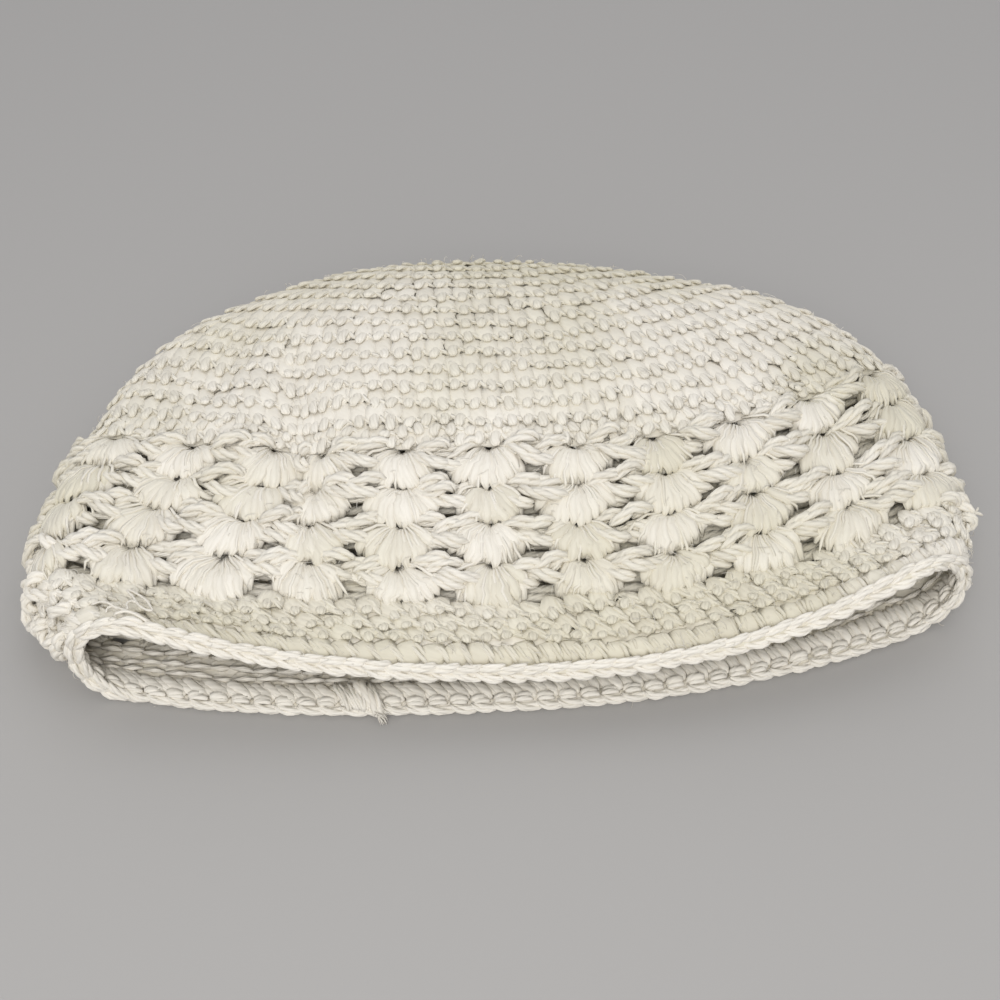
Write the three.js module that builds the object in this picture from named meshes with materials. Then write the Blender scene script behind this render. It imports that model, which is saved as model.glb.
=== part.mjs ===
// Crochet baby beanie, lying flat on its back layer with the mouth toward -Y.
// Millimetres, +Z up. The origin is on the table, under the middle of the hat.
//
// The hat is one knitted wall, worked in rounds from the centre of the crown to the mouth.
// Every round is an outline across the hat: a flat bottom where it lies on the table, two
// small arcs where the wall folds over at the sides, and one long arc across the top.
// The table below gives a few of those outlines, and a smooth curve fills in between them.

import * as THREE from 'three';

const WALL = 2.6;                  // thickness of the crocheted fabric
const PIECE_GAP = 0.3;             // clearance between one group of rounds and the next
const REST_HEIGHT = WALL / 2;      // middle of the wall where the hat lies on the table

// Distances along the fabric, measured from the edge of the mouth.
const EDGE_HEIGHT = 3.8;           // chain edging
const BRIM_HEIGHT = 12.5;          // edging and plain rounds together
const SHELL_ROW_HEIGHT = 7.5;
const SHELL_ROWS = 4;
const CROWN_START = BRIM_HEIGHT + SHELL_ROWS * SHELL_ROW_HEIGHT;
const CROWN_TIP = 110;             // centre of the crown

// Each shell stands on one column of the hat, and the gaps lie between the columns.
const SHELLS_ROUND = 22;
const FIRST_COLUMN = -0.18;        // where the first column lies, left of the middle, in columns
const EVEN_SPLIT = 1 / 6;          // half width of the middle third of a column
const GAP_TOP_SPLIT = 0.19;        // half width of a gap under its chain, in columns
const GAP_FOOT_SPLIT = 0.1;        // half width of a gap at its foot, in columns
const SHELL_FOOT = 2.2;            // where neighbouring shells meet again below a gap
const CHAIN_HEIGHT = 1.8;          // the chain that bridges a gap

// Outlines across the hat.
//   along        distance from the mouth, along the fabric
//   halfWidth    from the middle of the outline to its side folds
//   centreX      sideways place of the middle
//   foldRadius   radius of the two side folds
//   bottom, top  height of the middle of the wall, below and above
//   topY         how far back the middle of the top layer lies
//   bottomY      the same for the bottom layer
//   leftY        how far back the left side fold lies
//   rightY       how far back the right side fold lies
//   skew         how far the bottom layer is pulled, forward at the left and back at the right
const OUTLINE_COLUMNS = [
  'along', 'halfWidth', 'centreX', 'foldRadius', 'bottom', 'top',
  'topY', 'bottomY', 'leftY', 'rightY', 'skew',
];
const OUTLINES = [
  [0, 74.5, 6, 8.8, REST_HEIGHT, 11, 0, 1.5, 7.5, 18, 2.5],
  [6, 78, 5, 8.5, REST_HEIGHT, 12.8, 6, 6.8, 12.5, 25.5, 3.3],
  [12.5, 81.5, 3, 8, REST_HEIGHT, 14.5, 12.5, 12.5, 20, 34, 4],
  [27.5, 80.5, 2.5, 8.5, REST_HEIGHT, 19.5, 26.5, 27, 39, 51, 2],
  [42.5, 77, 2.5, 9, REST_HEIGHT, 24.5, 40.5, 42, 54, 70, 0],
  [60, 71, 1, 9.5, REST_HEIGHT, 28.5, 57.5, 59, 70, 83, 0],
  [77, 58.5, -1, 10.5, REST_HEIGHT, 29.5, 75, 76, 83, 91, 0],
  [92, 40, -3, 10.5, 2, 27.5, 89, 89, 92, 95, 0],
  [103, 19, -3.5, 7.5, 6, 22, 97, 96, 98, 98, 0],
  [CROWN_TIP, 0.4, -3.5, 0.4, 13.7, 14.6, 100, 100, 100, 100, 0],
];
const FOLD_SWEEP = 2.3;            // how late a round curves back toward its side folds

// The outlines above are measured from the mouth, and this moves them over the origin.
const HAT_CENTRE_X = 3.0;
const HAT_CENTRE_Y = 50.7;

// Two soft creases run back over the left of the crown.
//   nearX, nearAlong   the end toward the mouth
//   farX, farAlong     the end toward the crown's tip
//   depth, reach       how deep and how wide the crease is
const CREASES = [
  { nearX: -33, nearAlong: 36, farX: -35, farAlong: 62, depth: 2.2, reach: 4.5 },
  { nearX: -50, nearAlong: 58, farX: -44, farAlong: 74, depth: 1.5, reach: 5 },
];
const CREASE_FADE = 7;             // how gently a crease begins and ends, along the fabric

// The near end of the first crease swallows part of a column, which draws the shells left
// of it toward the crease. The pull starts at the crease and dies out on the back layer.
const BUNCH = {
  columns: 0.46,                   // the most that a column moves
  startColumn: -2.0,               // no pull up to here
  fullColumn: -3.0,                // full pull from here
  easeColumn: -6.0,                // and until here
  endColumn: -10.0,                // none again from here
  nearAlong: 12.5,                 // none at the brim
  fullAlong: 40,                   // the most at the first lace round
  lastAlong: 75,                   // none again on the crown
};

const COTTON = { color: 0xe2ddd2, roughness: 0.95, metalness: 0 };

// Smooth curve through a column of the table that never overshoots its values.
function smoothThrough(xs, ys) {
  const count = xs.length;
  const steps = xs.slice(1).map((x, k) => x - xs[k]);
  const slopes = steps.map((step, k) => (ys[k + 1] - ys[k]) / step);
  const tangents = ys.map((_, k) => {
    if (k === 0) return slopes[0];
    if (k === count - 1) return slopes[count - 2];
    if (slopes[k - 1] * slopes[k] <= 0) return 0;
    const before = 2 * steps[k] + steps[k - 1];
    const after = steps[k] + 2 * steps[k - 1];
    return (before + after) / (before / slopes[k - 1] + after / slopes[k]);
  });
  return (x) => {
    let k = 0;
    while (k < count - 2 && x >= xs[k + 1]) k += 1;
    const t = (x - xs[k]) / steps[k];
    const rise = ys[k] * (1 + 2 * t) * (1 - t) ** 2 + ys[k + 1] * t * t * (3 - 2 * t);
    const bend = tangents[k] * t * (1 - t) ** 2 + tangents[k + 1] * t * t * (t - 1);
    return rise + steps[k] * bend;
  };
}

const alongs = OUTLINES.map((row) => row[0]);
const outlineCurves = OUTLINE_COLUMNS.map((_, column) => {
  return smoothThrough(alongs, OUTLINES.map((row) => row[column]));
});

function outlineAt(along) {
  return Object.fromEntries(OUTLINE_COLUMNS.map((name, column) => [name, outlineCurves[column](along)]));
}

// The top arc of an outline touches the side fold's arc smoothly. Its radius is negative
// near the mouth, where the top layer sags between the two folds.
function topArc(outline) {
  const reach = outline.halfWidth - outline.foldRadius;
  const rise = outline.top - outline.bottom - outline.foldRadius;
  const r = outline.foldRadius;
  const radius = (reach ** 2 + rise ** 2 - r ** 2) / (2 * (rise - r));
  const side = Math.sign(radius - r);
  return { reach, radius, turn: Math.atan2(side * reach, side * (radius - rise)) };
}

// How far a crease presses the top layer down.
function creaseDepth(x, along) {
  return CREASES.reduce((sum, crease) => {
    const share = (along - crease.nearAlong) / (crease.farAlong - crease.nearAlong);
    const middleX = crease.nearX + share * (crease.farX - crease.nearX);
    const middleAlong = (crease.nearAlong + crease.farAlong) / 2;
    const halfLength = (crease.farAlong - crease.nearAlong) / 2;
    const beyond = Math.max(0, Math.abs(along - middleAlong) - halfLength) / CREASE_FADE;
    return sum + crease.depth * Math.exp(-(((x - middleX) / crease.reach) ** 2) - beyond ** 2);
  }, 0);
}

function easeBetween(from, to, value) {
  const t = THREE.MathUtils.clamp((value - from) / (to - from), 0, 1);
  return t * t * (3 - 2 * t);
}

// Where a share of the way round ends up once the crease has drawn the columns together.
function bunchedShare(share, along) {
  const whole = share - Math.floor(share);
  const column = (whole > 0.5 ? whole - 1 : whole) * SHELLS_ROUND;
  const rise = easeBetween(BUNCH.startColumn, BUNCH.fullColumn, column);
  const fall = easeBetween(BUNCH.endColumn, BUNCH.easeColumn, column);
  const near = easeBetween(BUNCH.nearAlong, BUNCH.fullAlong, along);
  const far = easeBetween(BUNCH.lastAlong, BUNCH.fullAlong, along);
  return whole + (BUNCH.columns * rise * fall * near * far) / SHELLS_ROUND;
}

// A point on the middle of the wall. share runs once round the hat, from the middle of the
// top layer over the right fold, the bottom and the left fold.
function wallPoint(share, along) {
  const outline = outlineAt(along);
  const { reach, radius, turn } = topArc(outline);
  const r = outline.foldRadius;
  const topLength = radius * turn;
  const foldLength = r * (Math.PI - turn);
  const half = topLength + foldLength + reach;
  const bunched = bunchedShare(share, along);
  const wrapped = bunched - Math.floor(bunched);
  const side = wrapped < 0.5 ? 1 : -1;
  const walked = 2 * half * Math.min(wrapped, 1 - wrapped);
  let x = half - walked;
  let z = outline.bottom;
  let onTop = false;
  if (walked < topLength) {
    const angle = walked / radius;
    x = radius * Math.sin(angle);
    z = outline.top - radius * (1 - Math.cos(angle));
    onTop = true;
  } else if (walked < topLength + foldLength) {
    const angle = turn + (walked - topLength) / r;
    x = reach + r * Math.sin(angle);
    z = outline.bottom + r + r * Math.cos(angle);
    onTop = angle < Math.PI / 2;
  }
  const out = x / outline.halfWidth;
  const foldY = side > 0 ? outline.rightY : outline.leftY;
  const middleY = onTop ? outline.topY : outline.bottomY;
  const pull = onTop ? 0 : outline.skew * side * out * (1 - out ** 2);
  const y = middleY + (foldY - middleY) * out ** FOLD_SWEEP + pull;
  const hatX = outline.centreX + side * x;
  const crease = onTop ? creaseDepth(hatX, along) : 0;
  return new THREE.Vector3(hatX - HAT_CENTRE_X, y - HAT_CENTRE_Y, z - crease);
}

// A point off the middle of the wall, out of the hat for a positive offset.
function offsetPoint(share, along, offset) {
  const step = 0.002;
  const reach = 0.25;
  const round = wallPoint(share + step, along).sub(wallPoint(share - step, along));
  const low = Math.max(0, along - reach);
  const high = Math.min(CROWN_TIP - reach, along + reach);
  const up = wallPoint(share, high).sub(wallPoint(share, low));
  const outward = round.cross(up).normalize();
  return wallPoint(share, along).addScaledVector(outward, offset);
}

// Three lines per column: the shell's own middle, and one each side of the gap's middle.
function columnShares(split) {
  const shares = [];
  for (let column = 0; column < SHELLS_ROUND; column += 1) {
    for (const place of [0, 0.5 - split, 0.5 + split]) {
      shares.push((FIRST_COLUMN + column + place) / SHELLS_ROUND);
    }
  }
  return shares;
}

// Closed wall through the stations, from the mouth side to the crown side.
// Each station is { along, split, gapsAbove }: where gapsAbove is set, the cell between the
// two lines beside a gap's middle is left open up to the next station.
function wallGeometry(stations, closesAtTip = false) {
  const positions = [];
  const faces = [];
  const lines = SHELLS_ROUND * 3;
  const last = stations.length - 1;

  for (const offset of [WALL / 2, -WALL / 2]) {
    for (const { along, split } of stations) {
      for (const share of columnShares(split)) positions.push(...offsetPoint(share, along, offset).toArray());
    }
  }
  const layerSize = stations.length * lines;
  const outer = (station, line) => station * lines + (line % lines);
  const inner = (station, line) => layerSize + outer(station, line);
  const quad = (a, b, c, d) => faces.push(a, b, c, a, c, d);
  const isOpen = (station, line) => Boolean(stations[station].gapsAbove) && line % 3 === 1;

  for (let line = 0; line < lines; line += 1) {
    const next = line + 1;
    const facingMouth = (s) => quad(inner(s, line), inner(s, next), outer(s, next), outer(s, line));
    const facingCrown = (s) => quad(outer(s, line), outer(s, next), inner(s, next), inner(s, line));
    facingMouth(0);
    if (!closesAtTip) facingCrown(last);
    for (let s = 0; s < last; s += 1) {
      if (isOpen(s, line)) {
        facingCrown(s);
        facingMouth(s + 1);
        quad(inner(s, line), inner(s + 1, line), outer(s + 1, line), outer(s, line));
        quad(outer(s, next), outer(s + 1, next), inner(s + 1, next), inner(s, next));
      } else {
        quad(outer(s, line), outer(s, next), outer(s + 1, next), outer(s + 1, line));
        quad(inner(s, line), inner(s + 1, line), inner(s + 1, next), inner(s, next));
      }
    }
  }

  if (closesAtTip) {
    const tip = wallPoint(0, CROWN_TIP);
    const outerTip = positions.length / 3;
    positions.push(tip.x, tip.y + WALL / 2, tip.z);
    positions.push(tip.x, tip.y - WALL / 2, tip.z);
    for (let line = 0; line < lines; line += 1) {
      faces.push(outer(last, line), outer(last, line + 1), outerTip);
      faces.push(inner(last, line + 1), inner(last, line), outerTip + 1);
    }
  }
  return solidGeometry(positions, faces);
}

function solidGeometry(positions, faces) {
  const geometry = new THREE.BufferGeometry();
  geometry.setAttribute('position', new THREE.Float32BufferAttribute(positions, 3));
  geometry.setIndex(faces);
  geometry.computeVertexNormals();
  return geometry;
}

// The edging is a round cord of fabric that follows the mouth and closes on itself.
function edgeGeometry() {
  const sides = 8;
  const positions = [];
  const faces = [];
  const shares = columnShares(EVEN_SPLIT);
  const middle = EDGE_HEIGHT / 2;
  for (const share of shares) {
    for (let side = 0; side < sides; side += 1) {
      const angle = (2 * Math.PI * (side + 0.5)) / sides;
      const widen = 1 / Math.cos(Math.PI / sides);
      const along = middle + (middle - PIECE_GAP / 2) * Math.cos(angle);
      positions.push(...offsetPoint(share, along, (WALL / 2) * widen * Math.sin(angle)).toArray());
    }
  }
  const count = shares.length;
  const at = (line, side) => (line % count) * sides + (side % sides);
  for (let line = 0; line < count; line += 1) {
    for (let side = 0; side < sides; side += 1) {
      const [a, b] = [at(line, side), at(line, side + 1)];
      const [c, d] = [at(line + 1, side + 1), at(line + 1, side)];
      faces.push(a, b, c, a, c, d);
    }
  }
  return solidGeometry(positions, faces);
}

function brimGeometry() {
  const low = EDGE_HEIGHT + PIECE_GAP / 2;
  const high = BRIM_HEIGHT - PIECE_GAP / 2;
  return wallGeometry([low, (low + high) / 2, high].map((along) => ({ along, split: EVEN_SPLIT })));
}

function shellRowGeometry(row) {
  const foot = BRIM_HEIGHT + (SHELL_ROWS - row) * SHELL_ROW_HEIGHT;
  const top = foot + SHELL_ROW_HEIGHT;
  return wallGeometry([
    { along: foot + PIECE_GAP / 2, split: EVEN_SPLIT },
    { along: foot + SHELL_FOOT, split: GAP_FOOT_SPLIT, gapsAbove: true },
    { along: top - CHAIN_HEIGHT, split: GAP_TOP_SPLIT },
    { along: top - PIECE_GAP / 2, split: EVEN_SPLIT },
  ]);
}

function crownGeometry() {
  const start = CROWN_START + PIECE_GAP / 2;
  const rounds = [start, 50, 60, 70, 79, 87, 94, 100, 105];
  return wallGeometry(rounds.map((along) => ({ along, split: EVEN_SPLIT })), true);
}

function namedMesh(name, geometry) {
  const mesh = new THREE.Mesh(geometry, new THREE.MeshStandardMaterial(COTTON));
  mesh.name = name;
  return mesh;
}

const beanie = new THREE.Group();
beanie.add(namedMesh('crown', crownGeometry()));
for (let row = 1; row <= SHELL_ROWS; row += 1) {
  beanie.add(namedMesh(`shell_row_${row}`, shellRowGeometry(row)));
}
beanie.add(namedMesh('brim_band', brimGeometry()));
beanie.add(namedMesh('edge_braid', edgeGeometry()));

export default beanie;
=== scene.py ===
"""Crochet baby beanie, dressed in cotton yarn.

The hat is one wall that closes over itself at the crown. Every strand is a tube along a path
that is given on that wall: the share of the way round, the distance along the fabric from
the mouth, and the distance off the middle of the wall. A stitch is a few such paths, and it
is laid again and again round the hat.

Lengths are in millimetres until a mesh is made. The share of the way round is 0 at the
middle of the top layer and grows to the right: the right fold is near 0.25, the middle of
the bottom layer is at 0.5, and the left fold is near 0.75.
"""

import bpy
import numpy as np
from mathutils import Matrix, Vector


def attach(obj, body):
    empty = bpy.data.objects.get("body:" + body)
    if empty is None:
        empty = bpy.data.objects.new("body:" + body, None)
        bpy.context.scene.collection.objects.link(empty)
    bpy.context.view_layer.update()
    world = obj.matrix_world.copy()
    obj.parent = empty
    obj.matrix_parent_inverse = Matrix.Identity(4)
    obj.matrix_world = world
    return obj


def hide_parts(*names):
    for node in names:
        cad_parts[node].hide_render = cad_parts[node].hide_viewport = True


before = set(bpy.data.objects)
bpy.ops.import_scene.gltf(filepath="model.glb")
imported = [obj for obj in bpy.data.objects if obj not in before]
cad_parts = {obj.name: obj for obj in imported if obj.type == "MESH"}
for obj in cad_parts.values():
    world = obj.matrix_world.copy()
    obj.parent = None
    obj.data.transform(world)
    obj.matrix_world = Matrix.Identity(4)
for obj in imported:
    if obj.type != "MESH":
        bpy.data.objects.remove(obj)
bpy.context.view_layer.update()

MM = 0.001
luck = np.random.default_rng(11)

# The wall, from the same named values as the CAD part.
CROWN_START = 42.5
CROWN_TIP = 110.0
BRIM_HEIGHT = 12.5
SHELL_ROW_HEIGHT = 7.5
SHELL_ROWS = 4
SHELLS_ROUND = 22
FIRST_COLUMN = -0.18
STITCHES_ROUND = 88
FOLD_SWEEP = 2.3
HAT_CENTRE = np.array([3.0, 50.7, 0.0])
OUTLINE_COLUMNS = (
    "along", "half_width", "centre_x", "fold_radius", "bottom", "top",
    "top_y", "bottom_y", "left_y", "right_y", "skew",
)
OUTLINES = np.array([
    [0, 74.5, 6, 8.8, 1.3, 11, 0, 1.5, 7.5, 18, 2.5],
    [6, 78, 5, 8.5, 1.3, 12.8, 6, 6.8, 12.5, 25.5, 3.3],
    [12.5, 81.5, 3, 8, 1.3, 14.5, 12.5, 12.5, 20, 34, 4],
    [27.5, 80.5, 2.5, 8.5, 1.3, 19.5, 26.5, 27, 39, 51, 2],
    [42.5, 77, 2.5, 9, 1.3, 24.5, 40.5, 42, 54, 70, 0],
    [60, 71, 1, 9.5, 1.3, 28.5, 57.5, 59, 70, 83, 0],
    [77, 58.5, -1, 10.5, 1.3, 29.5, 75, 76, 83, 91, 0],
    [92, 40, -3, 10.5, 2, 27.5, 89, 89, 92, 95, 0],
    [103, 19, -3.5, 7.5, 6, 22, 97, 96, 98, 98, 0],
    [CROWN_TIP, 0.4, -3.5, 0.4, 13.7, 14.6, 100, 100, 100, 100, 0],
])
CREASES = (
    {"near_x": -33, "near_along": 36, "far_x": -35, "far_along": 62, "depth": 2.2, "reach": 4.5},
    {"near_x": -50, "near_along": 58, "far_x": -44, "far_along": 74, "depth": 1.5, "reach": 5},
)
CREASE_FADE = 7
BUNCH = {
    "columns": 0.46, "start_column": -2, "full_column": -3, "ease_column": -6, "end_column": -10,
    "near_along": BRIM_HEIGHT, "full_along": 40, "last_along": 75,
}

# Where the first stitch of a round stands, and the width of one at the mouth, both as shares
# of the way round. The length of the mouth turns millimetres into such shares.
FIRST_SHARE = FIRST_COLUMN / SHELLS_ROUND
MOUTH_STITCH = 1 / STITCHES_ROUND
MOUTH_LENGTH = 350


def smooth_through(xs, ys, x):
    """Monotone cubic through the points (xs, ys), read at x. The slope at a point is the
    weighted harmonic mean of the slopes beside it, or 0 where they differ in sign."""
    steps = np.diff(xs)
    slopes = np.diff(ys) / steps
    before = 2 * steps[1:] + steps[:-1]
    after = steps[1:] + 2 * steps[:-1]
    one_way = slopes[:-1] * slopes[1:] > 0
    left = np.where(one_way, slopes[:-1], 1)
    right = np.where(one_way, slopes[1:], 1)
    middle = np.where(one_way, (before + after) / (before / left + after / right), 0)
    tangents = np.concatenate([slopes[:1], middle, slopes[-1:]])
    k = np.clip(np.searchsorted(xs, x, side="right") - 1, 0, len(xs) - 2)
    t = (x - xs[k]) / steps[k]
    rise = ys[k] * (1 + 2 * t) * (1 - t) ** 2 + ys[k + 1] * t * t * (3 - 2 * t)
    bend = tangents[k] * t * (1 - t) ** 2 + tangents[k + 1] * t * t * (t - 1)
    return rise + steps[k] * bend


def ease(start, end, value):
    """0 before start, 1 after end, and 3t^2 - 2t^3 between them."""
    t = np.clip((value - start) / (end - start), 0, 1)
    return t * t * (3 - 2 * t)


def crease_depth(x, along):
    """Sum of the creases: each is its depth times a bell across it, with soft ends."""
    depth = np.zeros_like(x)
    for crease in CREASES:
        length = crease["far_along"] - crease["near_along"]
        share = (along - crease["near_along"]) / length
        middle_x = crease["near_x"] + share * (crease["far_x"] - crease["near_x"])
        beyond = np.maximum(0, np.abs(share - 0.5) * length - length / 2) / CREASE_FADE
        bell = np.exp(-(((x - middle_x) / crease["reach"]) ** 2) - beyond ** 2)
        depth = depth + crease["depth"] * bell
    return depth


def bunched_share(share, along):
    """The share of the way round, drawn toward the first crease where that gathers columns."""
    whole = share - np.floor(share)
    column = np.where(whole > 0.5, whole - 1, whole) * SHELLS_ROUND
    rise = ease(BUNCH["start_column"], BUNCH["full_column"], column)
    fall = ease(BUNCH["end_column"], BUNCH["ease_column"], column)
    near = ease(BUNCH["near_along"], BUNCH["full_along"], along)
    far = ease(BUNCH["last_along"], BUNCH["full_along"], along)
    return whole + BUNCH["columns"] * (rise * fall) * (near * far) / SHELLS_ROUND


def wall_point(share, along):
    """Point on the middle of the wall. An outline is an arc across the top, an arc of
    fold_radius at each side and a flat bottom, walked at even speed from the top's middle."""
    share, along = np.broadcast_arrays(share, along)
    o = {name: smooth_through(OUTLINES[:, 0], OUTLINES[:, k], along)
         for k, name in enumerate(OUTLINE_COLUMNS)}
    r = o["fold_radius"]
    reach = o["half_width"] - r
    rise = o["top"] - o["bottom"] - r
    radius = (reach ** 2 + rise ** 2 - r ** 2) / (2 * (rise - r))
    sign = np.sign(radius - r)
    turn = np.arctan2(sign * reach, sign * (radius - rise))
    top_length = radius * turn
    fold_length = r * (np.pi - turn)
    half = top_length + fold_length + reach
    wrapped = bunched_share(share, along)
    wrapped = wrapped - np.floor(wrapped)
    side = np.where(wrapped < 0.5, 1, -1)
    walked = 2 * half * np.minimum(wrapped, 1 - wrapped)
    in_top = walked < top_length
    in_fold = ~in_top & (walked < top_length + fold_length)
    top_angle = walked / radius
    fold_angle = turn + (walked - top_length) / r
    x = np.where(in_top, radius * np.sin(top_angle),
                 np.where(in_fold, reach + r * np.sin(fold_angle), half - walked))
    z = np.where(in_top, o["top"] - radius * (1 - np.cos(top_angle)),
                 np.where(in_fold, o["bottom"] + r + r * np.cos(fold_angle), o["bottom"]))
    on_top = in_top | (in_fold & (fold_angle < np.pi / 2))
    out = np.maximum(x, 0) / o["half_width"]
    fold_y = np.where(side > 0, o["right_y"], o["left_y"])
    middle_y = np.where(on_top, o["top_y"], o["bottom_y"])
    pull = np.where(on_top, 0, o["skew"] * side * out * (1 - out ** 2))
    y = middle_y + (fold_y - middle_y) * out ** FOLD_SWEEP + pull
    hat_x = o["centre_x"] + side * x
    z = z - np.where(on_top, crease_depth(hat_x, along), 0)
    return np.stack([hat_x, y, z], axis=-1) - HAT_CENTRE


def unit(vectors):
    """Vectors of length 1."""
    return vectors / np.maximum(np.linalg.norm(vectors, axis=-1, keepdims=True), 1e-12)


# Hand-worked rounds wander by a sum of sines, with these waves in one way round and in one
# millimetre along. How far they wander along and round, and the stretches at the mouth and
# the tip over which they calm down.
WAVES_ROUND = np.array([7, 13, 22, 31, 47, 61])
WAVES_ALONG = np.array([0.05, 0.11, -0.16, 0.23, -0.31, 0.45])
WAVE_HEIGHTS = np.array([0.30, 0.24, 0.18, 0.14, 0.12, 0.10])
WAVE_STARTS = luck.random((2, len(WAVES_ROUND))) * 2 * np.pi
WANDER_ALONG = 0.9
WANDER_ROUND = 0.8
CALM_MOUTH = 8
CALM_TIP = 12

# The small steps that give the wall's directions.
NEARBY_SHARE = 0.002
NEARBY_ALONG = 0.25


def wavy(share, along):
    """How a round wanders along and round the fabric: each the sum of the waves' heights
    times the sine of the way round and the way along."""
    phase = 2 * np.pi * (share[..., None] * WAVES_ROUND + along[..., None] * WAVES_ALONG)
    return [np.sum(WAVE_HEIGHTS * np.sin(phase + start), axis=-1) for start in WAVE_STARTS]


def on_wall(share, along, offset):
    """Point at an offset from the wall's middle, and the outward normal there, which is the
    cross product of the way round and the way toward the crown."""
    share, along, offset = np.broadcast_arrays(share, along, offset)
    up, aside = wavy(share, along)
    calm = ease(0, CALM_MOUTH, along) * ease(CROWN_TIP, CROWN_TIP - CALM_TIP, along)
    along = along + WANDER_ALONG * up * calm
    share = share + WANDER_ROUND * aside * calm / MOUTH_LENGTH
    high = np.minimum(along + NEARBY_ALONG, CROWN_TIP - NEARBY_ALONG)
    low = np.minimum(along - NEARBY_ALONG, CROWN_TIP - 3 * NEARBY_ALONG)
    way_round = wall_point(share + NEARBY_SHARE, along) - wall_point(share - NEARBY_SHARE, along)
    way_up = wall_point(share, high) - wall_point(share, low)
    outward = unit(np.cross(way_round, way_up))
    return wall_point(share, along) + outward * offset[..., None], outward


def walked_along(paths):
    """Distance walked from the start of each path to each of its stops: the running sum of
    the steps' lengths."""
    steps = np.linalg.norm(np.diff(paths, axis=1), axis=-1)
    return np.concatenate([np.zeros((len(paths), 1)), np.cumsum(steps, axis=1)], axis=1)


# The table that spaces the crown's rounds: its steps round and up, the last part of the way
# up that is used, and how much the table counts against even steps along the fabric.
TABLE_SHARES = 220
TABLE_PARTS = 135
LAST_PART = 0.995
EVEN_CROWN = 0.8


def even_crown_table():
    """Distance along the fabric, by share of the way round and part of the way from the last
    lace round to the tip. It is the even steps of real length up each line of the crown."""
    shares = np.linspace(0, 1, TABLE_SHARES + 1)
    alongs = np.linspace(CROWN_START, CROWN_TIP, 2 * TABLE_PARTS + 1)
    walked = walked_along(wall_point(shares[:, None], alongs[None, :]))
    walked = walked / walked[:, -1:]
    parts = np.linspace(0, 1, TABLE_PARTS + 1)
    return np.stack([np.interp(parts, line, alongs) for line in walked])


CROWN_TABLE = even_crown_table()


def crown_along(share, part):
    """Distance along the fabric at a part of the way up the crown, read from the table
    between its four nearest values, and mixed with plain even steps."""
    part = np.clip(part, -0.1, LAST_PART)
    inside = np.clip(part, 0, LAST_PART) * TABLE_PARTS
    place = (share - np.floor(share)) * TABLE_SHARES
    i, j = np.floor(place).astype(int) % TABLE_SHARES, np.floor(inside).astype(int)
    s, t = place - np.floor(place), inside - j
    near = CROWN_TABLE[i, j] * (1 - t) + CROWN_TABLE[i, j + 1] * t
    far = CROWN_TABLE[i + 1, j] * (1 - t) + CROWN_TABLE[i + 1, j + 1] * t
    plain = CROWN_START + part * (CROWN_TIP - CROWN_START)
    even = near * (1 - s) + far * s
    return np.where(part > 0, EVEN_CROWN * even + (1 - EVEN_CROWN) * plain, plain)


SQUEEZED_HEIGHT = 0.4


def keep_on_table(points):
    """Squeezes what would sink into the table: under the squeezed height, a point's height
    falls off exponentially and stays over 0."""
    z = points[..., 2]
    pressed = SQUEEZED_HEIGHT * np.exp(np.minimum(z - SQUEEZED_HEIGHT, 0) / SQUEEZED_HEIGHT)
    points[..., 2] = np.where(z < SQUEEZED_HEIGHT, pressed, z)
    return points


def sampled(points, stops):
    """A smooth curve through a few control points, at that many even stops."""
    points = np.asarray(points, float)
    knots = np.arange(len(points), dtype=float)
    at = np.linspace(0, len(points) - 1, stops)
    return np.stack([smooth_through(knots, column, at) for column in points.T], axis=-1)


def torus_quads(rings, sides, wraps=True):
    """Quads of a grid that closes round its sides, and end to end where it wraps."""
    ring = np.arange(rings if wraps else rings - 1)[:, None]
    side = np.arange(sides)[None, :]
    after, beside = (ring + 1) % rings, (side + 1) % sides
    corners = [ring * sides + side, ring * sides + beside,
               after * sides + beside, after * sides + side]
    return np.stack(corners, axis=-1).reshape(-1, 4)


def square_to(paths, outward):
    """The outward and the sideways direction at each stop, both square to the path: outward
    less its part ahead, and the cross product of ahead and that."""
    ahead = unit(np.gradient(paths, axis=1))
    out = unit(outward - ahead * np.sum(outward * ahead, axis=-1, keepdims=True))
    return out, np.cross(ahead, out)


# A strand's radius at its very ends as part of its own, and how far the pattern may be moved
# along one strand against the next. A ply's radius as part of its strand's, and how much the
# plies differ in the width of their turns.
END_RADIUS = 0.6
PATTERN_SHIFT = 9
PLY_RADIUS = 0.6
PLY_UNEVEN = 0.12


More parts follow.
